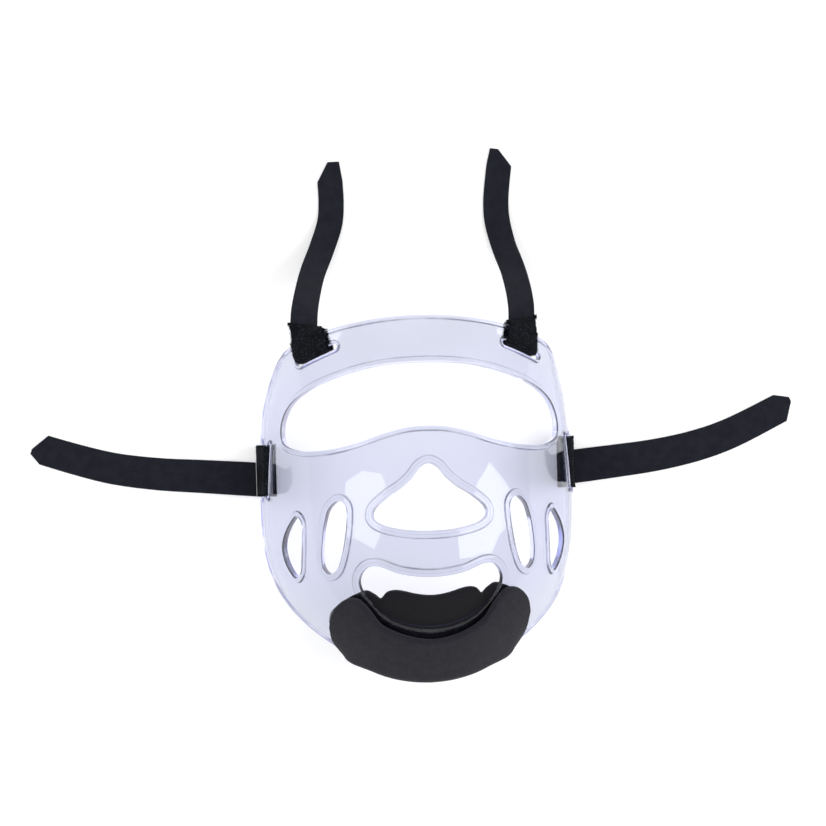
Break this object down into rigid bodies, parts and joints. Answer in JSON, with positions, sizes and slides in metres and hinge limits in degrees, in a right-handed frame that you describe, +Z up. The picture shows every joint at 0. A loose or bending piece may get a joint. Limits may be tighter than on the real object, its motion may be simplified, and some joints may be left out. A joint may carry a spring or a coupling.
{
  "type": "taekwondo face mask",
  "caption": "Clear moulded face shield with eye, nose, mouth and cheek openings, a foam chin pad and four hook-and-loop straps.",
  "frame": {"origin": "on the surface that the mask lies on, under the middle of its bounding box", "axes": "+Z up and out of the face, +Y towards the forehead, +X to the right of a viewer who faces the mask"},
  "size_m": [0.4636, 0.3178, 0.0977],
  "materials": {
    "clear_shell": "polished",
    "foam": "matte",
    "loop_tape": "matte",
    "strap_tape": "matte"
  },
  "bodies": {
    "root": {"shield": "clear_shell", "chin_pad": "foam", "side_tab_left": "loop_tape", "side_tab_right": "loop_tape", "top_tab_left": "loop_tape", "top_tab_right": "loop_tape", "side_strap_left": "strap_tape", "side_strap_right": "strap_tape", "top_strap_left": "strap_tape", "top_strap_right": "strap_tape"}
  },
  "joints": []
}
